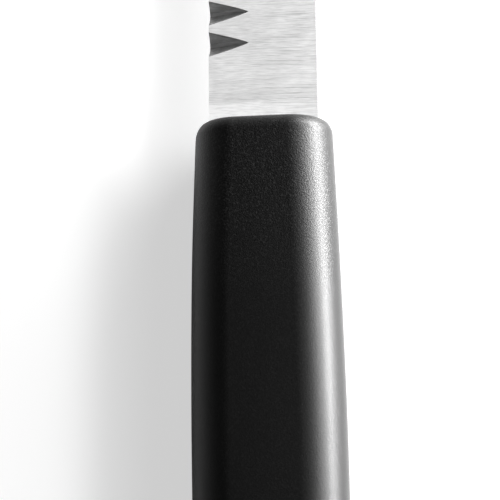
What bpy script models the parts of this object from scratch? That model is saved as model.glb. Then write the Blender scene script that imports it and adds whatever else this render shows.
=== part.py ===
"""Decorating knife: a thick steel blade fluted on both faces, in a two-shot moulded handle.

The knife lies flat on the handle's underside, on Z = 0, with the middle of its box over the origin.
The tip points to +Y, the cutting edge to -X and the spine to +X. Lengths are in metres.

In the knife's own frame, Y = 0 is the front of the handle, X = 0 the middle of the blade at the heel,
and Z = 0 the blade's middle plane.
"""

import math

import bmesh
import bpy
from mathutils import Vector

# Blade
BLADE_LENGTH = 0.110
BLADE_WIDTH = 0.0200
BLADE_TAPER = 0.0004
BLADE_THICKNESS = 0.0022
TIP_DROP_LENGTH = 0.009
TIP_SPINE_RADIUS = 0.026
TIP_NOSE_RADIUS = 0.0015

# Flutes, ground in from the cutting edge on both faces
FLUTE_PITCH = 0.0061
FLUTE_MOUTH = 0.00475
FLUTE_LENGTH = 0.0075
FLUTE_WEB = 0.0003
FLUTE_CROWN = 0.85
FLUTE_HEEL_GAP = 0.0157
FLUTE_TIP_GAP = 0.0055

# Tang
EDGE_SHOULDER_DEPTH = 0.0060
SPINE_SHOULDER_DEPTH = 0.0045
SHOULDER_RADIUS = 0.0010
TANG_LENGTH = 0.092
TANG_ROOT_WIDTH = 0.0125
TANG_END_WIDTH = 0.0095
TANG_CORNER_RADIUS = 0.0030
TANG_FILLET_RADIUS = 0.0015
TANG_HOLE_RADIUS = 0.0030
TANG_HOLE_DISTANCES = (0.030, 0.062)

# Handle, outside
HANDLE_LENGTH = 0.118
HANDLE_THICKNESS = 0.0170
FLANK_WIDTH = 0.0079
# Rounded edges of the two ends, each as its width across the handle and its depth along it
FRONT_EDGE_CORNER = (0.0019, 0.0030)
FRONT_SPINE_CORNER = (0.0016, 0.0023)
FRONT_RIM = (0.0023, 0.0026)
BUTT_EDGE_CORNER = (0.0095, 0.0095)
BUTT_SPINE_CORNER = (0.0120, 0.0120)
BUTT_RIM = (0.0055, 0.0055)
# Half widths of the two sides, each at a share of the handle's length
EDGE_SIDE = ((0.0, 0.01246), (0.22, 0.01321), (0.44, 0.01332), (0.66, 0.0130), (0.86, 0.0127), (1.0, 0.0130))
SPINE_SIDE = ((0.0, 0.0125), (0.22, 0.01343), (0.44, 0.0141), (0.66, 0.01436), (0.86, 0.0146), (1.0, 0.0144))

# Handle, inside
SKIN_WALL = 0.0026
KEY_COUNT = 5
KEY_PITCH = 0.0185
KEY_WIDTH = 0.0050
KEY_DEPTH = 0.0010
FIRST_KEY = 0.0200
MIN_RADIUS = 0.0008
CLEARANCE = 0.0003

# How finely the curves are cut
ARC_DEGREES = 7.5
FLUTE_STEPS = 12
FLANK_STEPS = 8
FRONT_STEPS = 6
BODY_STEPS = 12
BUTT_STEPS = 8
HOLE_SEGMENTS = 32
OVERCUT = 0.002
FLUTE_OVERRUN = 0.0004
POINT_LIFT = 0.1

EDGE_X = -BLADE_WIDTH / 2
SPINE_X = BLADE_WIDTH / 2
BLADE_HALF = BLADE_THICKNESS / 2
HANDLE_HALF = HANDLE_THICKNESS / 2


def clear_scene():
    for item in list(bpy.data.objects):
        bpy.data.objects.remove(item, do_unlink=True)


def make_collection(name):
    collection = bpy.data.collections.new(name)
    bpy.context.scene.collection.children.link(collection)
    return collection


def make_material(name, color, roughness, metallic):
    material = bpy.data.materials.new(name)
    material.use_nodes = True
    shader = material.node_tree.nodes["Principled BSDF"]
    shader.inputs["Base Color"].default_value = (*color, 1.0)
    shader.inputs["Roughness"].default_value = roughness
    shader.inputs["Metallic"].default_value = metallic
    return material


def new_object(name, data, collection):
    item = bpy.data.objects.new(name, data)
    collection.objects.link(item)
    return item


def as_cutter(item):
    item.hide_render = True
    item.display_type = "WIRE"
    return item


def cut(target, cutter):
    modifier = target.modifiers.new("cut_" + cutter.name, "BOOLEAN")
    modifier.operation = "DIFFERENCE"
    modifier.solver = "EXACT"
    modifier.object = cutter


def freeze(item):
    """Replaces a curve, or an object with modifiers, by a plain mesh object of the same name."""
    bpy.context.view_layer.update()
    shape = item.evaluated_get(bpy.context.evaluated_depsgraph_get())
    mesh = bpy.data.meshes.new_from_object(shape)
    name = item.name
    collection = item.users_collection[0]
    place = item.matrix_world.copy()
    bpy.data.objects.remove(item, do_unlink=True)
    cage = bmesh.new()
    cage.from_mesh(mesh)
    bmesh.ops.remove_doubles(cage, verts=cage.verts, dist=1e-6)
    bmesh.ops.recalc_face_normals(cage, faces=cage.faces)
    cage.to_mesh(mesh)
    cage.free()
    frozen = new_object(name, mesh, collection)
    frozen.matrix_world = place
    return frozen


def finish_piece(item, material, smooth_degrees, knife):
    item.data.materials.clear()
    item.data.materials.append(material)
    item.data.shade_smooth()
    item.data.set_sharp_from_angle(angle=math.radians(smooth_degrees))
    item.parent = knife


def spine_x_at(y):
    """The spine's place, which closes in on the edge from the heel to the tip."""
    return SPINE_X - BLADE_TAPER * y / BLADE_LENGTH


def blade_corners():
    """The outline of blade and tang, anticlockwise from the tip: point and corner radius."""
    end_y = -TANG_LENGTH
    drop_y = BLADE_LENGTH - TIP_DROP_LENGTH
    root = TANG_ROOT_WIDTH / 2
    end = TANG_END_WIDTH / 2
    return (
        (Vector((EDGE_X, BLADE_LENGTH)), TIP_NOSE_RADIUS),
        (Vector((EDGE_X, -EDGE_SHOULDER_DEPTH)), SHOULDER_RADIUS),
        (Vector((-root, -EDGE_SHOULDER_DEPTH)), TANG_FILLET_RADIUS),
        (Vector((-end, end_y)), TANG_CORNER_RADIUS),
        (Vector((end, end_y)), TANG_CORNER_RADIUS),
        (Vector((root, -SPINE_SHOULDER_DEPTH)), TANG_FILLET_RADIUS),
        (Vector((SPINE_X, -SPINE_SHOULDER_DEPTH)), SHOULDER_RADIUS),
        (Vector((spine_x_at(drop_y), drop_y)), TIP_SPINE_RADIUS),
    )


def line_meeting(a, direction_a, b, direction_b):
    """Where two lines meet, each given by a point and a direction."""
    offset = b - a
    share = offset.cross(direction_b) / direction_a.cross(direction_b)
    return a + direction_a * share


def grown(corners, gap):
    """The same outline moved outwards by a gap, with outer radii larger and inner radii smaller."""
    if not gap:
        return corners
    moved = []
    for index, (point, radius) in enumerate(corners):
        before = corners[index - 1][0]
        after = corners[(index + 1) % len(corners)][0]
        way_in = (point - before).normalized()
        way_out = (after - point).normalized()
        shift_in = Vector((way_in.y, -way_in.x)) * gap
        shift_out = Vector((way_out.y, -way_out.x)) * gap
        meeting = line_meeting(point + shift_in, way_in, point + shift_out, way_out)
        outer = way_in.cross(way_out) > 0
        moved.append((meeting, radius + gap if outer else max(radius - gap, gap)))
    return tuple(moved)


def rounded(corners):
    """The points of a closed outline with an arc at each corner."""
    points = []
    for index, (point, radius) in enumerate(corners):
        back = (corners[index - 1][0] - point).normalized()
        ahead = (corners[(index + 1) % len(corners)][0] - point).normalized()
        half_angle = back.angle(ahead) / 2
        middle = point + (back + ahead).normalized() * radius / math.sin(half_angle)
        start = point + back * radius / math.tan(half_angle) - middle
        sweep = math.pi - 2 * half_angle
        turn = math.copysign(sweep, (-back).cross(ahead))
        steps = math.ceil(sweep / math.radians(ARC_DEGREES))
        for step in range(steps + 1):
            angle = turn * step / steps
            cosine, sine = math.cos(angle), math.sin(angle)
            spoke = Vector((start.x * cosine - start.y * sine, start.x * sine + start.y * cosine))
            points.append(middle + spoke)
    return points


def plate(name, points, half_thickness, collection):
    """A flat plate with this outline, centred on the blade's middle plane."""
    curve = bpy.data.curves.new(name, "CURVE")
    curve.dimensions = "2D"
    curve.fill_mode = "BOTH"
    curve.extrude = half_thickness
    spline = curve.splines.new("POLY")
    spline.points.add(len(points) - 1)
    for target, point in zip(spline.points, points):
        target.co = (point.x, point.y, 0.0, 1.0)
    spline.use_cyclic_u = True
    return freeze(new_object(name, curve, collection))


def cylinders(name, radius, distances, collection):
    """Upright round bars on the blade's centre line, at these distances behind the handle's front."""
    cage = bmesh.new()
    for distance in distances:
        bar = bmesh.ops.create_cone(
            cage,
            cap_ends=True,
            segments=HOLE_SEGMENTS,
            radius1=radius,
            radius2=radius,
            depth=BLADE_THICKNESS + 2 * OVERCUT,
        )
        bmesh.ops.translate(cage, verts=bar["verts"], vec=(0.0, -distance, 0.0))
    mesh = bpy.data.meshes.new(name)
    cage.to_mesh(mesh)
    cage.free()
    return as_cutter(new_object(name, mesh, collection))


def flute_lift():
    """How far a flute's cutter stands above the face, low enough to miss the next one."""
    return (FLUTE_PITCH - FLUTE_MOUTH) / 4


def flute_section():
    """A V with a round root: (offset along the edge, depth) pairs over a flute's mouth.

    A flank reaches half the depth a quarter pitch from the middle, so that it lies parallel to the
    flank of the next flute on the other face, and the steel between them is of even thickness.
    """
    depth = BLADE_THICKNESS - FLUTE_WEB
    half_mouth = FLUTE_MOUTH / 2
    flank = math.atan(depth / (FLUTE_MOUTH - FLUTE_PITCH / 2))
    root_radius = (half_mouth * math.tan(flank) - depth) / (1 / math.cos(flank) - 1)
    section = []
    for step in range(FLUTE_STEPS + 1):
        angle = flank * (2 * step / FLUTE_STEPS - 1)
        offset = root_radius * math.sin(angle)
        rise = root_radius * (1 - math.cos(angle))
        section.append((offset, depth - rise))
    lift = flute_lift()
    top = half_mouth + lift / math.tan(flank)
    section.insert(0, (-top, -lift))
    section.append((top, -lift))
    return section


def flute_cutter(name, first_y, face, collection):
    """One body for each flute of a face (1 above, -1 below), drawn out from the section to a point."""
    section = flute_section()
    stations = (1 + FLUTE_OVERRUN / FLUTE_LENGTH, 1.0, 0.75, 0.5, 0.25)
    last_y = BLADE_LENGTH - FLUTE_TIP_GAP
    count = int((last_y - first_y) / FLUTE_PITCH) + 1
    cage = bmesh.new()
    for index in range(count):
        middle_y = first_y + index * FLUTE_PITCH
        rings = []
        for share in stations:
            x = EDGE_X + FLUTE_LENGTH * (1 - share)
            scale = share**FLUTE_CROWN
            ring = [
                cage.verts.new((x, middle_y + along * scale, face * (BLADE_HALF - down * scale)))
                for along, down in section
            ]
            rings.append(ring)
        point_z = face * (BLADE_HALF + flute_lift() * POINT_LIFT)
        point = cage.verts.new((EDGE_X + FLUTE_LENGTH, middle_y, point_z))
        cage.faces.new(rings[0])
        for outer, inner in zip(rings, rings[1:]):
            for spot in range(len(section)):
                following = (spot + 1) % len(section)
                cage.faces.new((outer[spot], outer[following], inner[following], inner[spot]))
        for spot in range(len(section)):
            cage.faces.new((rings[-1][spot], rings[-1][(spot + 1) % len(section)], point))
    bmesh.ops.recalc_face_normals(cage, faces=cage.faces)
    mesh = bpy.data.meshes.new(name)
    cage.to_mesh(mesh)
    cage.free()
    return as_cutter(new_object(name, mesh, collection))


def make_blade(parts, cutters):
    blade = plate("blade", rounded(blade_corners()), BLADE_HALF, parts)
    cut(blade, cylinders("tang_holes", TANG_HOLE_RADIUS, TANG_HOLE_DISTANCES, cutters))
    cut(blade, flute_cutter("upper_flutes", FLUTE_HEEL_GAP, 1, cutters))
    cut(blade, flute_cutter("lower_flutes", FLUTE_HEEL_GAP + FLUTE_PITCH / 2, -1, cutters))
    return freeze(blade)


def blade_space(cutters):
    """The room that the blade and tang take in the plastic, with plugs left through the holes."""
    outline = rounded(grown(blade_corners(), CLEARANCE))
    space = plate("blade_space", outline, BLADE_HALF + CLEARANCE, cutters)
    plugs = cylinders("hole_plugs", TANG_HOLE_RADIUS - CLEARANCE, TANG_HOLE_DISTANCES, cutters)
    cut(space, plugs)
    return as_cutter(freeze(space))


def smooth_value(stations, share):
    """A smooth curve through (share, value) stations: a cubic with slopes from the neighbours."""
    last = len(stations) - 1
    index = 0
    while index < last - 1 and share > stations[index + 1][0]:
        index += 1

    def slope(at):
        low = stations[max(at - 1, 0)]
        high = stations[min(at + 1, last)]
        return (high[1] - low[1]) / (high[0] - low[0])

    left, right = stations[index], stations[index + 1]
    span = right[0] - left[0]
    t = (share - left[0]) / span
    return (
        left[1] * (2 * t**3 - 3 * t**2 + 1)
        + slope(index) * span * (t**3 - 2 * t**2 + t)
        + right[1] * (3 * t**2 - 2 * t**3)
        + slope(index + 1) * span * (t**3 - t**2)
    )


def inner_size(size, inset):
    """A rounded edge's width or depth on a form inset from the surface."""
    return max(size - inset, MIN_RADIUS)


def rounding(distance, edge, inset):
    """How far an oval edge lies inside its side, at a distance from the end face."""
    width, depth = (inner_size(size, inset) for size in edge)
    if distance >= depth:
        return 0.0
    return width * (1 - math.sqrt(1 - (1 - distance / depth) ** 2))


def handle_stations(inset):
    """Distances behind the handle's front at which a form inset from the surface has its sections."""
    front = inset
    back = HANDLE_LENGTH - inset
    front_edges = (FRONT_EDGE_CORNER, FRONT_SPINE_CORNER, FRONT_RIM)
    butt_edges = (BUTT_EDGE_CORNER, BUTT_SPINE_CORNER, BUTT_RIM)
    front_depth = max(inner_size(depth, inset) for _, depth in front_edges)
    butt_depth = max(inner_size(depth, inset) for _, depth in butt_edges)
    stations = []
    for step in range(FRONT_STEPS):
        stations.append(front + front_depth * (1 - math.cos(step / FRONT_STEPS * math.pi / 2)))
    body_length = back - front - front_depth - butt_depth
    for step in range(BODY_STEPS):
        stations.append(front + front_depth + body_length * step / BODY_STEPS)
    for step in range(BUTT_STEPS + 1):
        stations.append(back - butt_depth * (1 - math.sin(step / BUTT_STEPS * math.pi / 2)))
    return stations


def handle_section(distance, inset):
    """The handle's section: flat above and below, with a quarter oval at each corner."""
    share = distance / HANDLE_LENGTH
    to_front = distance - inset
    to_back = HANDLE_LENGTH - inset - distance
    rim = rounding(to_front, FRONT_RIM, inset) + rounding(to_back, BUTT_RIM, inset)
    height = HANDLE_HALF - inset - rim
    sides = []
    for stations, front_corner, butt_corner in (
        (EDGE_SIDE, FRONT_EDGE_CORNER, BUTT_EDGE_CORNER),
        (SPINE_SIDE, FRONT_SPINE_CORNER, BUTT_SPINE_CORNER),
    ):
        full = smooth_value(stations, share)
        corners = rounding(to_front, front_corner, inset) + rounding(to_back, butt_corner, inset)
        width = full - inset - corners
        flat = min(full - FLANK_WIDTH, 0.6 * width)
        sides.append((width, flat))
    return height, sides


def handle_form(name, inset, collection):
    """A closed body that follows the handle's surface at a depth of inset below it."""
    cage = bmesh.new()
    rings = []
    for distance in handle_stations(inset):
        height, ((edge_width, edge_flat), (spine_width, spine_flat)) = handle_section(distance, inset)
        ring = []
        for side, width, flat in ((1, spine_width, spine_flat), (-1, edge_width, edge_flat)):
            for step in range(2 * FLANK_STEPS + 1):
                angle = math.radians(90 - 90 * step / FLANK_STEPS)
                x = side * (flat + (width - flat) * math.cos(angle))
                ring.append(cage.verts.new((x, -distance, side * height * math.sin(angle))))
        rings.append(ring)
    cage.faces.new(rings[0])
    cage.faces.new(rings[-1])
    for front, back in zip(rings, rings[1:]):
        for spot in range(len(front)):
            following = (spot + 1) % len(front)
            cage.faces.new((front[spot], front[following], back[following], back[spot]))
    bmesh.ops.recalc_face_normals(cage, faces=cage.faces)
    mesh = bpy.data.meshes.new(name)
    cage.to_mesh(mesh)
    cage.free()
    return new_object(name, mesh, collection)


def key_cutter(name, inset, width, cutters):
    """Bars across the broad faces of a form, for the grooves that lock core and skin together."""
    span = max(value for _, value in EDGE_SIDE + SPINE_SIDE) + OVERCUT
    floor = HANDLE_HALF - inset - KEY_DEPTH
    top = HANDLE_HALF + OVERCUT
    cage = bmesh.new()
    for index in range(KEY_COUNT):
        for face in (1, -1):
            bar = bmesh.ops.create_cube(cage, size=1.0)
            bmesh.ops.scale(cage, verts=bar["verts"], vec=(2 * span, width, top - floor))
            place = (0.0, -FIRST_KEY - index * KEY_PITCH, face * (top + floor) / 2)
            bmesh.ops.translate(cage, verts=bar["verts"], vec=place)
    mesh = bpy.data.meshes.new(name)
    cage.to_mesh(mesh)
    cage.free()
    return as_cutter(new_object(name, mesh, cutters))


def make_core(parts, cutters, space):
    core = handle_form("handle_core", SKIN_WALL, parts)
    cut(core, key_cutter("core_keys", SKIN_WALL, KEY_WIDTH, cutters))
    cut(core, space)
    return freeze(core)


def make_grip(parts, cutters, space):
    grip = handle_form("handle_grip", 0.0, parts)
    inner = SKIN_WALL - CLEARANCE
    room = handle_form("core_space", inner, cutters)
    cut(room, key_cutter("skin_keys", inner, KEY_WIDTH - 2 * CLEARANCE, cutters))
    room = as_cutter(freeze(room))
    cut(grip, room)
    cut(grip, space)
    return freeze(grip)


def knife_offset(pieces):
    """The move that puts the middle of the knife's box over the origin, resting on Z = 0."""
    corners = [vertex.co for piece in pieces for vertex in piece.data.vertices]
    low = [min(corner[axis] for corner in corners) for axis in range(3)]
    high = [max(corner[axis] for corner in corners) for axis in range(3)]
    return (-(low[0] + high[0]) / 2, -(low[1] + high[1]) / 2, -low[2])


def main():
    clear_scene()
    parts = make_collection("decorating_knife")
    cutters = make_collection("decorating_knife_cutters")
    steel = make_material("blade_steel", (0.62, 0.62, 0.62), 0.32, 1.0)
    core_plastic = make_material("core_plastic", (0.09, 0.09, 0.095), 0.55, 0.0)
    grip_plastic = make_material("grip_plastic", (0.012, 0.012, 0.013), 0.42, 0.0)
    space = blade_space(cutters)
    blade = make_blade(parts, cutters)
    core = make_core(parts, cutters, space)
    grip = make_grip(parts, cutters, space)
    knife = new_object("knife", None, parts)
    finish_piece(blade, steel, 10, knife)
    finish_piece(core, core_plastic, 30, knife)
    finish_piece(grip, grip_plastic, 30, knife)
    knife.location = knife_offset((blade, core, grip))
    bpy.context.view_layer.update()


main()
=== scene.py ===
"""Looks for the decorating knife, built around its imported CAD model.

Lengths are in metres. The pieces are made in the knife's own frame and then moved into the model's:
Y = 0 is the front of the handle, X = 0 the middle of the blade at the heel, Z = 0 its middle plane.
The materials' patterns have their places in the same frame, in millimetres.
"""

import math

import bmesh
import bpy
from mathutils import Matrix, Vector


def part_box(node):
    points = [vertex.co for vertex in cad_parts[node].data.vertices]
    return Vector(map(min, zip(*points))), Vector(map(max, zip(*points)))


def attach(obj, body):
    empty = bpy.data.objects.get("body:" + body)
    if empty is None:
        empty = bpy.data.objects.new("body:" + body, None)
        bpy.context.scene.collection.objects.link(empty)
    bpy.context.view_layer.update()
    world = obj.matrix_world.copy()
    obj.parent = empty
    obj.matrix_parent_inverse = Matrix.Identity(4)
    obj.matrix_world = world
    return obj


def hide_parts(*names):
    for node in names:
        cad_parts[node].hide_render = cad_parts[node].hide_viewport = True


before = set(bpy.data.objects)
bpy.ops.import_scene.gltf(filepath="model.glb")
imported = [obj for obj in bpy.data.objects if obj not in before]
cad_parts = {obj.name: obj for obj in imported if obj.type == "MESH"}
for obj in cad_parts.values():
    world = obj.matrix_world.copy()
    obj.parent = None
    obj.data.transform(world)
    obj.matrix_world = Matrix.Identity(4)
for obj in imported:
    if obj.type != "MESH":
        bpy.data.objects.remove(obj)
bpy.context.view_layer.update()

# Blade, as in the CAD source
BLADE_LENGTH = 0.110
BLADE_WIDTH = 0.0200
BLADE_TAPER = 0.0004
BLADE_THICKNESS = 0.0022
TIP_DROP_LENGTH = 0.009
TIP_SPINE_RADIUS = 0.026
TIP_NOSE_RADIUS = 0.0015
FLUTE_PITCH = 0.0061
FLUTE_MOUTH = 0.00475
FLUTE_LENGTH = 0.0075
FLUTE_WEB = 0.0003
FLUTE_CROWN = 0.85
FLUTE_HEEL_GAP = 0.0157
FLUTE_TIP_GAP = 0.0055
EDGE_SHOULDER_DEPTH = 0.0060
SPINE_SHOULDER_DEPTH = 0.0045
SHOULDER_RADIUS = 0.0010
TANG_LENGTH = 0.092
TANG_ROOT_WIDTH = 0.0125
TANG_END_WIDTH = 0.0095
TANG_CORNER_RADIUS = 0.0030
TANG_FILLET_RADIUS = 0.0015
TANG_HOLE_RADIUS = 0.0030
TANG_HOLE_DISTANCES = (0.030, 0.062)

# Handle, as in the CAD source; an end's rounded edge is (width across the handle, depth along it), a side
# is half widths at shares of the length, and the flat limit is the most of a half width that may be flat
HANDLE_LENGTH = 0.118
HANDLE_THICKNESS = 0.0170
FLANK_WIDTH = 0.0079
FLAT_LIMIT = 0.6
FRONT_EDGE_CORNER = (0.0019, 0.0030)
FRONT_SPINE_CORNER = (0.0016, 0.0023)
FRONT_RIM = (0.0023, 0.0026)
BUTT_EDGE_CORNER = (0.0095, 0.0095)
BUTT_SPINE_CORNER = (0.0120, 0.0120)
BUTT_RIM = (0.0055, 0.0055)
EDGE_SIDE = ((0.0, 0.01246), (0.22, 0.01321), (0.44, 0.01332), (0.66, 0.0130), (0.86, 0.0127), (1.0, 0.0130))
SPINE_SIDE = ((0.0, 0.0125), (0.22, 0.01343), (0.44, 0.0141), (0.66, 0.01436), (0.86, 0.0146), (1.0, 0.0144))
SKIN_WALL = 0.0026
KEY_COUNT = 5
KEY_PITCH = 0.0185
KEY_WIDTH = 0.0050
KEY_DEPTH = 0.0010
FIRST_KEY = 0.0200
MIN_RADIUS = 0.0008
CLEARANCE = 0.0003

# What only the looks have
SLOT_GAP = 0.00004
SPINE_BREAK = 0.00012
PARTING_HEIGHT = 0.00002
PARTING_ANGLE = 0.5
WITNESS_DISTANCE = 0.00050
WITNESS_WIDTH = 0.00012
WITNESS_HEIGHT = 0.00003

# How finely the curves are cut
ARC_DEGREES = 3.0
FLUTE_STEPS = 24
FLUTE_SHARES = (1.06, 1.0, 0.9, 0.8, 0.7, 0.6, 0.5, 0.4, 0.3, 0.2, 0.1, 0.04)
FLANK_STEPS = 24
FRONT_STEPS = 16
BODY_STEPS = 48
BUTT_STEPS = 28
WITNESS_STEPS = 2
BREAK_SEGMENTS = 2
HOLE_SEGMENTS = 64

# How far cutters overshoot, a flute's point as a share of its lift, and how near corners are merged
OVERCUT = 0.002
POINT_LIFT = 0.01
MERGE_DISTANCE = 1e-7

# Faces that meet at less than this many degrees are shaded as one curve
BLADE_SMOOTH_DEGREES = 12
GRIP_SMOOTH_DEGREES = 35

EDGE_X = -BLADE_WIDTH / 2
SPINE_X = BLADE_WIDTH / 2
BLADE_HALF = BLADE_THICKNESS / 2
HANDLE_HALF = HANDLE_THICKNESS / 2

blade_low, blade_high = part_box("blade")
_, grip_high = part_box("handle_grip")
ORIGIN = Vector(((blade_low.x + blade_high.x) / 2, grip_high.y, (blade_low.z + blade_high.z) / 2))


# Meshes


def new_object(name, data):
    item = bpy.data.objects.new(name, data)
    bpy.context.scene.collection.objects.link(item)
    return item


def mesh_of(name, cage):
    bmesh.ops.recalc_face_normals(cage, faces=cage.faces)
    mesh = bpy.data.meshes.new(name)
    cage.to_mesh(mesh)
    cage.free()
    return mesh


def cut(target, cutter):
    """Takes the cutter away from the target for good; the new faces keep the cutter's material."""
    modifier = target.modifiers.new("cut", "BOOLEAN")
    modifier.operation = "DIFFERENCE"
    modifier.solver = "EXACT"
    modifier.material_mode = "TRANSFER"
    modifier.object = cutter
    bpy.context.view_layer.update()
    shape = target.evaluated_get(bpy.context.evaluated_depsgraph_get())
    mesh = bpy.data.meshes.new_from_object(shape)
    target.modifiers.clear()
    target.data = mesh
    bpy.data.objects.remove(cutter, do_unlink=True)


def finish_piece(piece, node, smooth_degrees):
    """Cleans the mesh, sets its shading, and lets the piece stand for its CAD node."""
    cage = bmesh.new()
    cage.from_mesh(piece.data)
    bmesh.ops.remove_doubles(cage, verts=cage.verts, dist=MERGE_DISTANCE)
    cage.to_mesh(piece.data)
    cage.free()
    piece.data.shade_smooth()
    piece.data.set_sharp_from_angle(angle=math.radians(smooth_degrees))
    piece.location = ORIGIN
    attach(piece, "root")
    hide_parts(node)


def spine_x_at(y):
    return SPINE_X - BLADE_TAPER * y / BLADE_LENGTH


def blade_corners():
    """The outline of blade and tang, anticlockwise from the tip: point and corner radius."""
    end_y = -TANG_LENGTH
    drop_y = BLADE_LENGTH - TIP_DROP_LENGTH
    root = TANG_ROOT_WIDTH / 2
    end = TANG_END_WIDTH / 2
    return (
        (Vector((EDGE_X, BLADE_LENGTH)), TIP_NOSE_RADIUS),
        (Vector((EDGE_X, -EDGE_SHOULDER_DEPTH)), SHOULDER_RADIUS),
        (Vector((-root, -EDGE_SHOULDER_DEPTH)), TANG_FILLET_RADIUS),
        (Vector((-end, end_y)), TANG_CORNER_RADIUS),
        (Vector((end, end_y)), TANG_CORNER_RADIUS),
        (Vector((root, -SPINE_SHOULDER_DEPTH)), TANG_FILLET_RADIUS),
        (Vector((SPINE_X, -SPINE_SHOULDER_DEPTH)), SHOULDER_RADIUS),
        (Vector((spine_x_at(drop_y), drop_y)), TIP_SPINE_RADIUS),
    )


def line_meeting(a, direction_a, b, direction_b):
    offset = b - a
    share = offset.cross(direction_b) / direction_a.cross(direction_b)
    return a + direction_a * share


def grown(corners, gap):
    """The same outline moved outwards by a gap."""
    moved = []
    for index, (point, radius) in enumerate(corners):
        before = corners[index - 1][0]
        after = corners[(index + 1) % len(corners)][0]
        way_in = (point - before).normalized()
        way_out = (after - point).normalized()
        shift_in = Vector((way_in.y, -way_in.x)) * gap
        shift_out = Vector((way_out.y, -way_out.x)) * gap
        meeting = line_meeting(point + shift_in, way_in, point + shift_out, way_out)
        outer = way_in.cross(way_out) > 0
        moved.append((meeting, radius + gap if outer else max(radius - gap, gap)))
    return tuple(moved)


def rounded(corners):
    """The points of a closed outline with an arc at each corner."""
    points = []
    for index, (point, radius) in enumerate(corners):
        back = (corners[index - 1][0] - point).normalized()
        ahead = (corners[(index + 1) % len(corners)][0] - point).normalized()
        half_angle = back.angle(ahead) / 2
        middle = point + (back + ahead).normalized() * radius / math.sin(half_angle)
        start = point + back * radius / math.tan(half_angle) - middle
        sweep = math.pi - 2 * half_angle
        turn = math.copysign(sweep, (-back).cross(ahead))
        steps = math.ceil(sweep / math.radians(ARC_DEGREES))
        for step in range(steps + 1):
            angle = turn * step / steps
            cosine, sine = math.cos(angle), math.sin(angle)
            spoke = Vector((start.x * cosine - start.y * sine, start.x * sine + start.y * cosine))
            points.append(middle + spoke)
    return points


def plate(name, points, half_thickness, edge_break=0.0):
    """A flat plate with this outline; the edges of the spine and tip get a small break."""
    cage = bmesh.new()
    lower = [cage.verts.new((point.x, point.y, -half_thickness)) for point in points]
    upper = [cage.verts.new((point.x, point.y, half_thickness)) for point in points]
    cage.faces.new(list(reversed(lower)))
    cage.faces.new(upper)
    for index in range(len(points)):
        after = (index + 1) % len(points)
        cage.faces.new((lower[index], lower[after], upper[after], upper[index]))
    if edge_break:
        broken = []
        for ring in (lower, upper):
            for index, vertex in enumerate(ring):
                other = ring[(index + 1) % len(ring)]
                off_the_edge = min(vertex.co.x, other.co.x) > EDGE_X + TIP_NOSE_RADIUS
                ahead_of_handle = max(vertex.co.y, other.co.y) > 0.0
                if off_the_edge and ahead_of_handle:
                    broken.append(cage.edges.get((vertex, other)))
        bmesh.ops.bevel(
            cage,
            geom=broken,
            offset=edge_break,
            offset_type="OFFSET",
            segments=BREAK_SEGMENTS,
            profile=0.5,
            affect="EDGES",
        )
    return new_object(name, mesh_of(name, cage))


def cylinders(name, radius, distances):
    cage = bmesh.new()
    for distance in distances:
        bar = bmesh.ops.create_cone(
            cage,
            cap_ends=True,
            segments=HOLE_SEGMENTS,
            radius1=radius,
            radius2=radius,
            depth=BLADE_THICKNESS + 2 * OVERCUT,
        )
        bmesh.ops.translate(cage, verts=bar["verts"], vec=(0.0, -distance, 0.0))
    return new_object(name, mesh_of(name, cage))


def flute_section(lift):
    """A V with a round root: (offset along the edge, depth) pairs over a flute's mouth."""
    depth = BLADE_THICKNESS - FLUTE_WEB
    half_mouth = FLUTE_MOUTH / 2
    flank = math.atan(depth / (FLUTE_MOUTH - FLUTE_PITCH / 2))
    root_radius = (half_mouth * math.tan(flank) - depth) / (1 / math.cos(flank) - 1)
    section = []
    for step in range(FLUTE_STEPS + 1):
        angle = flank * (2 * step / FLUTE_STEPS - 1)
        section.append((root_radius * math.sin(angle), depth - root_radius * (1 - math.cos(angle))))
    top = half_mouth + lift / math.tan(flank)
    return [(-top, -lift)] + section + [(top, -lift)]


def flute_cutter(name, first_y, face, material):
    """One body for each flute of a face (1 above, -1 below), drawn out from the section to a point."""
    lift = (FLUTE_PITCH - FLUTE_MOUTH) / 4
    section = flute_section(lift)
    count = int((BLADE_LENGTH - FLUTE_TIP_GAP - first_y) / FLUTE_PITCH) + 1
    cage = bmesh.new()
    for index in range(count):
        middle_y = first_y + index * FLUTE_PITCH
        rings = []
        for share in FLUTE_SHARES:
            x = EDGE_X + FLUTE_LENGTH * (1 - share)
            scale = share**FLUTE_CROWN
            rings.append(
                [
                    cage.verts.new((x, middle_y + along * scale, face * (BLADE_HALF - down * scale)))
                    for along, down in section
                ]
            )
        point = cage.verts.new((EDGE_X + FLUTE_LENGTH, middle_y, face * (BLADE_HALF + lift * POINT_LIFT)))
        cage.faces.new(rings[0])
        for outer, inner in zip(rings, rings[1:]):
            for spot in range(len(section)):
                following = (spot + 1) % len(section)
                cage.faces.new((outer[spot], outer[following], inner[following], inner[spot]))
        for spot in range(len(section)):
            cage.faces.new((rings[-1][spot], rings[-1][(spot + 1) % len(section)], point))
    cutter = new_object(name, mesh_of(name, cage))
    cutter.data.materials.append(material)
    return cutter


def make_blade(steel, ground):
    blade = plate("steel_blade", rounded(blade_corners()), BLADE_HALF, SPINE_BREAK)
    blade.data.materials.append(steel)
    holes = cylinders("tang_holes", TANG_HOLE_RADIUS, TANG_HOLE_DISTANCES)
    holes.data.materials.append(steel)
    cut(blade, holes)
    cut(blade, flute_cutter("upper_flutes", FLUTE_HEEL_GAP, 1, ground))
    cut(blade, flute_cutter("lower_flutes", FLUTE_HEEL_GAP + FLUTE_PITCH / 2, -1, ground))
    finish_piece(blade, "blade", BLADE_SMOOTH_DEGREES)
    return blade


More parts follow.
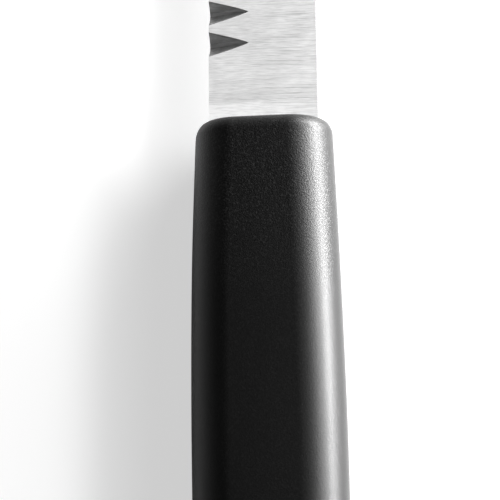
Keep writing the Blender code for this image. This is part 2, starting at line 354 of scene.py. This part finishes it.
def smooth_value(stations, share):
    """A smooth curve through (share, value) stations: a cubic with slopes from the neighbours."""
    last = len(stations) - 1
    index = 0
    while index < last - 1 and share > stations[index + 1][0]:
        index += 1

    def slope(at):
        low = stations[max(at - 1, 0)]
        high = stations[min(at + 1, last)]
        return (high[1] - low[1]) / (high[0] - low[0])

    left, right = stations[index], stations[index + 1]
    span = right[0] - left[0]
    t = (share - left[0]) / span
    return (
        left[1] * (2 * t**3 - 3 * t**2 + 1)
        + slope(index) * span * (t**3 - 2 * t**2 + t)
        + right[1] * (3 * t**2 - 2 * t**3)
        + slope(index + 1) * span * (t**3 - t**2)
    )


def inner_size(size, inset):
    return max(size - inset, MIN_RADIUS)


def rounding(distance, edge, inset):
    """How far an oval edge lies inside its side, at a distance from the end face."""
    width, depth = (inner_size(size, inset) for size in edge)
    if distance >= depth:
        return 0.0
    return width * (1 - math.sqrt(1 - (1 - distance / depth) ** 2))


def handle_stations(inset):
    """Distances behind the handle's front at which a form inset from the surface has its sections."""
    front = inset
    back = HANDLE_LENGTH - inset
    front_edges = (FRONT_EDGE_CORNER, FRONT_SPINE_CORNER, FRONT_RIM)
    butt_edges = (BUTT_EDGE_CORNER, BUTT_SPINE_CORNER, BUTT_RIM)
    front_depth = max(inner_size(depth, inset) for _, depth in front_edges)
    butt_depth = max(inner_size(depth, inset) for _, depth in butt_edges)
    stations = []
    for step in range(FRONT_STEPS):
        stations.append(front + front_depth * (1 - math.cos(step / FRONT_STEPS * math.pi / 2)))
    body_length = back - front - front_depth - butt_depth
    for step in range(BODY_STEPS):
        stations.append(front + front_depth + body_length * step / BODY_STEPS)
    for step in range(BUTT_STEPS + 1):
        stations.append(back - butt_depth * (1 - math.sin(step / BUTT_STEPS * math.pi / 2)))
    if not inset:
        for step in range(-WITNESS_STEPS, WITNESS_STEPS + 1):
            stations.append(WITNESS_DISTANCE + step * WITNESS_WIDTH / WITNESS_STEPS)
    return sorted(stations)


def handle_section(distance, inset):
    """The handle's half height, and for each side its half width and where its flat ends."""
    share = distance / HANDLE_LENGTH
    to_front = distance - inset
    to_back = HANDLE_LENGTH - inset - distance
    rim = rounding(to_front, FRONT_RIM, inset) + rounding(to_back, BUTT_RIM, inset)
    height = HANDLE_HALF - inset - rim
    sides = []
    for stations, front_corner, butt_corner in (
        (EDGE_SIDE, FRONT_EDGE_CORNER, BUTT_EDGE_CORNER),
        (SPINE_SIDE, FRONT_SPINE_CORNER, BUTT_SPINE_CORNER),
    ):
        full = smooth_value(stations, share)
        corners = rounding(to_front, front_corner, inset) + rounding(to_back, butt_corner, inset)
        width = full - inset - corners
        sides.append((width, min(full - FLANK_WIDTH, FLAT_LIMIT * width)))
    return height, sides


def flank_angles(inset):
    """Angles round one side of the section, with extra ones at the parting line."""
    angles = [90 - 90 * step / FLANK_STEPS for step in range(2 * FLANK_STEPS + 1)]
    if not inset:
        angles += [2 * PARTING_ANGLE, PARTING_ANGLE, -PARTING_ANGLE, -2 * PARTING_ANGLE]
    return sorted(angles, reverse=True)


def handle_form(name, inset):
    """A closed body that follows the handle's surface at a depth of inset below it."""
    cage = bmesh.new()
    rings = []
    for distance in handle_stations(inset):
        height, ((edge_width, edge_flat), (spine_width, spine_flat)) = handle_section(distance, inset)
        off_line = abs(distance - WITNESS_DISTANCE) / WITNESS_WIDTH
        ridge = WITNESS_HEIGHT * max(1 - 2 * off_line, 0.0) if not inset else 0.0
        ring = []
        for side, width, flat in ((1, spine_width, spine_flat), (-1, edge_width, edge_flat)):
            for angle in flank_angles(inset):
                bump = ridge
                if not inset and abs(angle) < PARTING_ANGLE / 2:
                    bump += PARTING_HEIGHT
                turn = math.radians(angle)
                x = side * (flat + (width - flat + bump) * math.cos(turn))
                ring.append(cage.verts.new((x, -distance, side * (height + bump) * math.sin(turn))))
        rings.append(ring)
    cage.faces.new(rings[0])
    cage.faces.new(rings[-1])
    for front, back in zip(rings, rings[1:]):
        for spot in range(len(front)):
            following = (spot + 1) % len(front)
            cage.faces.new((front[spot], front[following], back[following], back[spot]))
    return new_object(name, mesh_of(name, cage))


def key_cutter(inset, width):
    """Bars across the broad faces of the core's room, for the ribs that lock core and skin."""
    span = max(value for _, value in EDGE_SIDE + SPINE_SIDE) + OVERCUT
    floor = HANDLE_HALF - inset - KEY_DEPTH
    top = HANDLE_HALF + OVERCUT
    cage = bmesh.new()
    for index in range(KEY_COUNT):
        for face in (1, -1):
            bar = bmesh.ops.create_cube(cage, size=1.0)
            bmesh.ops.scale(cage, verts=bar["verts"], vec=(2 * span, width, top - floor))
            place = (0.0, -FIRST_KEY - index * KEY_PITCH, face * (top + floor) / 2)
            bmesh.ops.translate(cage, verts=bar["verts"], vec=place)
    return new_object("keys", mesh_of("keys", cage))


def make_grip(plastic):
    grip = handle_form("moulded_handle", 0.0)
    grip.data.materials.append(plastic)
    inner = SKIN_WALL - CLEARANCE
    room = handle_form("core_room", inner)
    cut(room, key_cutter(inner, KEY_WIDTH - 2 * CLEARANCE))
    cut(grip, room)
    cut(grip, plate("blade_slot", rounded(grown(blade_corners(), SLOT_GAP)), BLADE_HALF + SLOT_GAP))
    finish_piece(grip, "handle_grip", GRIP_SMOOTH_DEGREES)
    return grip


# Materials: places in millimetres, relief in metres, and tones, roughness and weights from 0 to 1
MM_PER_METRE = 1000
NOISE_RANGE = (0.3, 0.7)
CLOUD_RANGE = (0.35, 0.65)

# Brushed steel: a tone that rises towards the spine, lines, scratches, a bright heel, and narrow sides that
# are darker, partly for a duller finish and partly as painted shade
STEEL_TONE = (0.805, 0.865)
STEEL_TONE_X = (1.0, 8.0)
STEEL_LIGHTEST = 0.99
FINE_SWING = 0.10
CROSSING_SWING = 0.05
BROAD_SWING = 0.03
CLOUD_SWING = 0.04
SCRATCH_LEVEL = (0.58, 0.70)
SCRATCH_TONE = (0.04, 0.20)
SCRATCH_X = (-4.0, 8.0)
HEEL_TONE = (0.20, 0.07)
HEEL_X = (-10.0, 9.0)
HEEL_END_Y = (3.6, 4.6)
SIDE_TONE_AND_SHADE = 0.22
SIDE_DEPTHS = (0.05, 0.01)
STEEL_METALLIC = 0.2
STEEL_SPECULAR = 0.0
STEEL_ROUGHNESS = (0.86, 0.97)
CROSSING_RELIEF = 0.6
SCRATCH_RELIEF = 0.8
STEEL_RELIEF = 0.000006

# Ground steel: each flute has a painted highlight along its root, and painted shade darkens it near the
# blade's face
FLUTE_TONE = 0.55
STREAK_SWING = 0.10
WHEEL_SWING = 0.08
ROOT_HIGHLIGHT_SHIFT = 0.28
ROOT_HIGHLIGHT_HALF_WIDTH = (0.08, 0.42)
ROOT_HIGHLIGHT_TONE = 0.85
ROOT_HIGHLIGHT_FADE_X = (-9.5, -4.5)
ROOT_HIGHLIGHT_LEFT = 0.25
FLUTE_RIM_HEIGHT = (0.70, 1.05)
FLUTE_RIM_SHADE = 0.16
FLUTE_METALLIC = 0.85
FLUTE_ROUGHNESS = (0.40, 0.52)
FLUTE_RELIEF = 0.00001
FLUTE_RELIEF_WEIGHT = 0.7

# Black plastic: grain, and pale specks that are painted glints, fade towards the butt, which gets rougher
# from 84 mm behind the front. Black plastic: grain and specks wear off towards the butt, which is rougher
# past the photo's reach
PLASTIC_TONE = (0.0002, 0.0016)
SPECK_LEVEL = (0.54, 0.80)
SPECK_GLINT_TONE = 0.015
GRAIN_FADE_Y = (-33.0, -14.0)
GRAIN_FADE_LEFT = (0.22, 1.0)
BUTT_Y = (-106.0, -84.0)
PLASTIC_ROUGHNESS = (0.70, 0.42)
GRAIN_SWING = 0.05
PATCH_SWING = 0.02
COARSE_RELIEF = 0.35
PLASTIC_RELIEF = 0.000055
PLASTIC_IOR = 1.33
COAT_ROUGHNESS = 0.45

# Core plastic
CORE_TONE = (0.07, 0.11)
CORE_ROUGHNESS = (0.45, 0.60)
CORE_RELIEF = 0.00001
CORE_RELIEF_WEIGHT = 0.5

# Floor: its lift, a plain glow, differs for what the camera sees and, by X, for what is mirrored, where it
# is painted light and shade: dark on the shadow's side, white on the lamps' side
FLOOR_TONE = (0.795, 0.805)
FLOOR_ROUGHNESS = 0.35
FLOOR_LIFT = 0.568
MIRRORED_LIFT = (0.04, 1.0)
MIRRORED_LIFT_X = (-12.0, 12.0)


class Shading:
    """A material's nodes, with short calls for the ones that the looks need."""

    def __init__(self, name):
        self.material = bpy.data.materials.new(name)
        self.material.use_nodes = True
        self.nodes = self.material.node_tree.nodes
        self.links = self.material.node_tree.links
        self.shader = self.nodes["Principled BSDF"]
        self.output = self.nodes["Material Output"]
        self.place = self.nodes.new("ShaderNodeTexCoord").outputs["Object"]

    def put(self, value, socket):
        """Links another node's output to a socket, or sets a plain value on it."""
        if isinstance(value, bpy.types.NodeSocket):
            self.links.new(value, socket)
        else:
            socket.default_value = value

    def shade(self, values):
        """Gives the shader's sockets their values, by name."""
        for name, value in values.items():
            self.put(value, self.shader.inputs[name])

    def axis(self, name):
        """The place along one axis of the piece."""
        node = self.nodes.new("ShaderNodeSeparateXYZ")
        self.links.new(self.place, node.inputs["Vector"])
        return self.calculate("MULTIPLY", node.outputs[name], MM_PER_METRE)

    def turned(self, degrees):
        """The place in the piece, turned about Z."""
        node = self.nodes.new("ShaderNodeVectorRotate")
        node.rotation_type = "Z_AXIS"
        node.inputs["Angle"].default_value = math.radians(degrees)
        self.links.new(self.place, node.inputs["Vector"])
        return node.outputs["Vector"]

    def noise(self, waves, turn=0.0, detail=2.0, roughness=0.5, distortion=0.0):
        """Noise with so many waves to the millimetre along X, Y and Z, turned about Z by degrees."""
        scaled = self.nodes.new("ShaderNodeMapping")
        scaled.inputs["Scale"].default_value = [MM_PER_METRE * value for value in waves]
        self.links.new(self.turned(turn) if turn else self.place, scaled.inputs["Vector"])
        node = self.nodes.new("ShaderNodeTexNoise")
        node.inputs["Scale"].default_value = 1.0
        node.inputs["Detail"].default_value = detail
        node.inputs["Roughness"].default_value = roughness
        node.inputs["Distortion"].default_value = distortion
        self.links.new(scaled.outputs["Vector"], node.inputs["Vector"])
        return node.outputs["Fac"]

    def grain(self, waves, detail=1.0):
        """Noise that is as fine along each axis."""
        return self.noise((waves, waves, waves), detail=detail)

    def spread(self, value, over, to):
        """Maps a value from the range over to the range to, and holds it there."""
        node = self.nodes.new("ShaderNodeMapRange")
        self.links.new(value, node.inputs["Value"])
        for name, given in zip(("From Min", "From Max", "To Min", "To Max"), (*over, *to)):
            node.inputs[name].default_value = given
        return node.outputs["Result"]

    def sway(self, noise, amount, over=NOISE_RANGE):
        """The noise as a swing of this amount to either side."""
        return self.spread(noise, over, (-amount, amount))

    def calculate(self, operation, *values):
        node = self.nodes.new("ShaderNodeMath")
        node.operation = operation
        for value, socket in zip(values, node.inputs):
            self.put(value, socket)
        return node.outputs["Value"]

    def total(self, first, *others):
        for other in others:
            first = self.calculate("ADD", first, other)
        return first

    def product(self, first, *others):
        for other in others:
            first = self.calculate("MULTIPLY", first, other)
        return first

    def grey(self, value):
        node = self.nodes.new("ShaderNodeCombineColor")
        for socket in node.inputs:
            self.put(value, socket)
        return node.outputs["Color"]

    def bump(self, height, distance, strength):
        node = self.nodes.new("ShaderNodeBump")
        node.inputs["Distance"].default_value = distance
        self.put(strength, node.inputs["Strength"])
        self.links.new(height, node.inputs["Height"])
        self.shade({"Normal": node.outputs["Normal"], "Coat Normal": node.outputs["Normal"]})


def brushed_steel():
    """Finely ground lines across the blade, a few deeper ones, and a brighter band at the handle."""
    look = Shading("brushed_steel")
    fine = look.noise(waves=(0.42, 5.0, 1.0), turn=0.8, detail=3.0, roughness=0.7)
    crossing = look.noise(waves=(0.40, 4.4, 1.0), turn=3.0, detail=1.0)
    broad = look.noise(waves=(0.06, 0.9, 1.0), turn=-1.0, detail=1.0)
    cloud = look.noise(waves=(0.10, 0.16, 1.0))
    scratch = look.noise(waves=(0.11, 4.2, 1.0), turn=1.8, detail=0.0, roughness=0.4)
    deep = look.spread(scratch, SCRATCH_LEVEL, (0.0, 1.0))
    across = look.axis("X")
    lines = look.total(
        look.sway(fine, FINE_SWING),
        look.sway(crossing, CROSSING_SWING),
        look.sway(broad, BROAD_SWING),
        look.sway(cloud, CLOUD_SWING, over=CLOUD_RANGE),
    )
    scratches = look.product(deep, look.spread(across, SCRATCH_X, SCRATCH_TONE))
    lines = look.calculate("SUBTRACT", lines, scratches)
    near_handle = look.spread(look.axis("Y"), HEEL_END_Y, (1.0, 0.0))
    heel = look.product(near_handle, look.spread(across, HEEL_X, HEEL_TONE))
    tone = look.total(lines, heel, look.spread(across, STEEL_TONE_X, STEEL_TONE))
    # The narrow sides are darker: partly a duller finish, partly painted shade that keeps them from going
    # white under the low side lamps
    face_edge = [MM_PER_METRE * BLADE_HALF - depth for depth in SIDE_DEPTHS]
    on_face = look.spread(look.calculate("ABSOLUTE", look.axis("Z")), face_edge, (SIDE_TONE_AND_SHADE, 1.0))
    tone = look.product(look.calculate("MINIMUM", tone, STEEL_LIGHTEST), on_face)
    look.shade(
        {
            "Base Color": look.grey(tone),
            "Roughness": look.spread(fine, NOISE_RANGE, STEEL_ROUGHNESS),
            "Metallic": STEEL_METALLIC,
            "Specular IOR Level": STEEL_SPECULAR,
        }
    )
    height = look.total(fine, look.product(crossing, CROSSING_RELIEF))
    height = look.calculate("SUBTRACT", height, look.product(deep, SCRATCH_RELIEF))
    look.bump(height, STEEL_RELIEF, on_face)
    return look.material


def ground_steel():
    """The flutes: steel left by the wheel, with streaks from the edge to the flute's point, and a painted
    highlight along each root.
    """
    look = Shading("ground_steel")
    streak = look.noise(waves=(0.12, 5.0, 5.0), detail=3.0, roughness=0.6)
    wheel = look.noise(waves=(0.08, 1.8, 1.8), detail=1.0)
    # The bright band next to each flute's root is a painted highlight, set a little off the root
    first_root = MM_PER_METRE * FLUTE_HEEL_GAP + ROOT_HIGHLIGHT_SHIFT
    half_spacing = MM_PER_METRE * FLUTE_PITCH / 4
    from_first = look.calculate("SUBTRACT", look.axis("Y"), first_root)
    from_root = look.calculate("PINGPONG", from_first, half_spacing)
    root = look.spread(from_root, ROOT_HIGHLIGHT_HALF_WIDTH, (ROOT_HIGHLIGHT_TONE, 0.0))
    root = look.product(root, look.spread(look.axis("X"), ROOT_HIGHLIGHT_FADE_X, (1.0, ROOT_HIGHLIGHT_LEFT)))
    tone = look.total(look.sway(streak, STREAK_SWING), look.sway(wheel, WHEEL_SWING), root)
    # Painted shade: the flute gets darker near the blade's face
    rim = look.spread(look.calculate("ABSOLUTE", look.axis("Z")), FLUTE_RIM_HEIGHT, (0.0, FLUTE_RIM_SHADE))
    tone = look.total(look.calculate("SUBTRACT", tone, rim), FLUTE_TONE)
    look.shade(
        {
            "Base Color": look.grey(tone),
            "Roughness": look.spread(streak, NOISE_RANGE, FLUTE_ROUGHNESS),
            "Metallic": FLUTE_METALLIC,
        }
    )
    look.bump(look.total(streak, wheel), FLUTE_RELIEF, FLUTE_RELIEF_WEIGHT)
    return look.material


def black_plastic():
    """Satin black with a fine moulded grain and pale specks that are painted glints, both fading towards the
    butt.
    """
    look = Shading("black_plastic")
    grain = look.grain(waves=4.2)
    coarse = look.grain(waves=2.4)
    speck = look.grain(waves=2.9, detail=0.0)
    patch = look.noise(waves=(0.09, 0.05, 0.09))
    along = look.axis("Y")
    left = look.spread(along, GRAIN_FADE_Y, GRAIN_FADE_LEFT)
    # The pale specks are painted glints of the grain
    painted_glints = look.product(look.spread(speck, SPECK_LEVEL, (0.0, SPECK_GLINT_TONE)), left)
    tone = look.total(painted_glints, look.spread(grain, NOISE_RANGE, PLASTIC_TONE))
    level = look.spread(along, BUTT_Y, PLASTIC_ROUGHNESS)
    look.shade(
        {
            "Base Color": look.grey(tone),
            "Roughness": look.total(look.sway(grain, GRAIN_SWING), look.sway(patch, PATCH_SWING), level),
            "IOR": PLASTIC_IOR,
            "Coat Weight": 1.0,
            "Coat IOR": PLASTIC_IOR,
            "Coat Roughness": COAT_ROUGHNESS,
        }
    )
    look.bump(look.total(grain, look.product(coarse, COARSE_RELIEF)), PLASTIC_RELIEF, left)
    return look.material


def core_plastic():
    """The hidden first shot: grey plastic with faint flow marks."""
    look = Shading("core_plastic")
    flow = look.noise(waves=(0.3, 0.08, 0.3), detail=3.0, distortion=0.6)
    grain = look.grain(waves=4.0)
    look.shade(
        {
            "Base Color": look.grey(look.spread(flow, NOISE_RANGE, CORE_TONE)),
            "Roughness": look.spread(grain, NOISE_RANGE, CORE_ROUGHNESS),
        }
    )
    look.bump(grain, CORE_RELIEF, CORE_RELIEF_WEIGHT)
    return look.material


def floor_paint():
    """Matt white; the camera's lift makes it white in the picture without more light on the knife, and what
    is mirrored gets a painted glow, dark on the shadow's side and white on the lamps' side.
    """
    look = Shading("white_floor")
    mottle = look.grain(waves=0.01, detail=2.0)
    look.shade(
        {
            "Base Color": look.grey(look.spread(mottle, NOISE_RANGE, FLOOR_TONE)),
            "Roughness": FLOOR_ROUGHNESS,
        }
    )
    path = look.nodes.new("ShaderNodeLightPath")
    seen = look.calculate("MAXIMUM", path.outputs["Is Camera Ray"], path.outputs["Is Transmission Ray"])
    # Painted light and shade in reflections: the mirrored glow is dark on the shadow's side at -X and white
    # on the lamps' side at +X
    mirrored = look.spread(look.axis("X"), MIRRORED_LIFT_X, MIRRORED_LIFT)
    lift = look.total(look.product(seen, FLOOR_LIFT), look.product(path.outputs["Is Glossy Ray"], mirrored))
    glow = look.nodes.new("ShaderNodeEmission")
    look.links.new(lift, glow.inputs["Strength"])
    both = look.nodes.new("ShaderNodeAddShader")
    look.links.new(look.shader.outputs["BSDF"], both.inputs[0])
    look.links.new(glow.outputs["Emission"], both.inputs[1])
    look.links.new(both.outputs["Shader"], look.output.inputs["Surface"])
    return look.material


def dress_core(plastic):
    """The hidden core keeps its CAD mesh and gets a material alone."""
    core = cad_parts["handle_core"]
    core.data.materials.clear()
    core.data.materials.append(plastic)


# Studio
FLOOR_HALF = 12.0
FLOOR_CELLS = 8

# Soft boxes, all as far from the knife and aimed at it: azimuth from +X towards +Y, elevation (degrees),
# width, height (metres) and radiance
LAMP_DISTANCE = 2.0
LAMPS = {
    "low_box": (20, 5.1, 1.80, 0.35, 78.0),
    "high_box": (14, 31.5, 1.50, 0.30, 15.0),
    "tip_box": (48, 30, 0.80, 0.45, 9.0),
    "rim_box": (52, 16, 0.70, 0.40, 21.0),
}

# The room's brightness at sines of the angle above the horizon
ROOM = ((0.0, 0.30), (0.25, 0.27), (0.45, 0.18), (0.60, 0.06), (0.72, 0.0), (0.88, 0.01), (0.96, 0.07))

# The photograph's view, fitted to the flutes and to the outlines of blade and handle; angles in degrees
CAMERA_AIM = (-0.002727, -0.023185)
CAMERA_PITCH = 10.97
CAMERA_YAW = 7.0
CAMERA_ROLL = 0.48
CAMERA_DISTANCE = 0.234311
CAMERA_NEAR = 0.01
CAMERA_FAR = 50.0
FOCAL_PIXELS = 1300.0
PICTURE_PIXELS = 500.0
SENSOR_MM = 36.0


def make_floor():
    cage = bmesh.new()
    bmesh.ops.create_grid(cage, x_segments=FLOOR_CELLS, y_segments=FLOOR_CELLS, size=FLOOR_HALF)
    floor = new_object("floor", mesh_of("floor", cage))
    floor.data.materials.append(floor_paint())


def make_lamp(name, azimuth, elevation, width, height, radiance):
    """A soft box with the power that gives it this radiance."""
    turn, rise = math.radians(azimuth), math.radians(elevation)
    way = Vector((math.cos(turn) * math.cos(rise), math.sin(turn) * math.cos(rise), math.sin(rise)))
    data = bpy.data.lights.new(name, "AREA")
    data.shape = "RECTANGLE"
    data.size = width
    data.size_y = height
    data.energy = radiance * math.pi * width * height
    lamp = new_object(name, data)
    lamp.location = way * LAMP_DISTANCE
    lamp.rotation_euler = way.to_track_quat("Z", "Y").to_euler()
    lamp.visible_camera = False


def make_world():
    """A dim room: pale walls, a dark gap, and a pale panel overhead."""
    world = bpy.data.worlds.new("studio")
    world.use_nodes = True
    nodes, links = world.node_tree.nodes, world.node_tree.links
    parts = nodes.new("ShaderNodeSeparateXYZ")
    links.new(nodes.new("ShaderNodeTexCoord").outputs["Generated"], parts.inputs["Vector"])
    ramp = nodes.new("ShaderNodeValToRGB")
    stops = ramp.color_ramp.elements
    for index, (height, value) in enumerate(ROOM):
        stop = stops[index] if index < len(stops) else stops.new(height)
        stop.position = height
        stop.color = (value, value, value, 1.0)
    links.new(parts.outputs["Z"], ramp.inputs["Fac"])
    links.new(ramp.outputs["Color"], nodes["Background"].inputs["Color"])
    bpy.context.scene.world = world


def make_camera():
    """A view from above, a little from the butt's side and the spine's side."""
    aim = ORIGIN + Vector((*CAMERA_AIM, 0.0))
    pitch, yaw, roll = (math.radians(angle) for angle in (CAMERA_PITCH, CAMERA_YAW, CAMERA_ROLL))
    back = Vector((math.tan(yaw), -math.tan(pitch), 1.0)).normalized()
    right = Vector((math.sin(roll), math.cos(roll), 0.0)).cross(back).normalized()
    upwards = back.cross(right)
    data = bpy.data.cameras.new("camera")
    data.sensor_width = SENSOR_MM
    data.lens = SENSOR_MM * FOCAL_PIXELS / PICTURE_PIXELS
    data.clip_start = CAMERA_NEAR
    data.clip_end = CAMERA_FAR
    camera = new_object("camera", data)
    turn = Matrix((right, upwards, back)).transposed().to_4x4()
    camera.matrix_world = Matrix.Translation(aim + back * CAMERA_DISTANCE) @ turn
    bpy.context.scene.camera = camera


make_camera()
make_blade(brushed_steel(), ground_steel())
make_grip(black_plastic())
dress_core(core_plastic())
make_floor()
for lamp_name, lamp_values in LAMPS.items():
    make_lamp(lamp_name, *lamp_values)
make_world()
bpy.context.scene.view_settings.view_transform = "Standard"
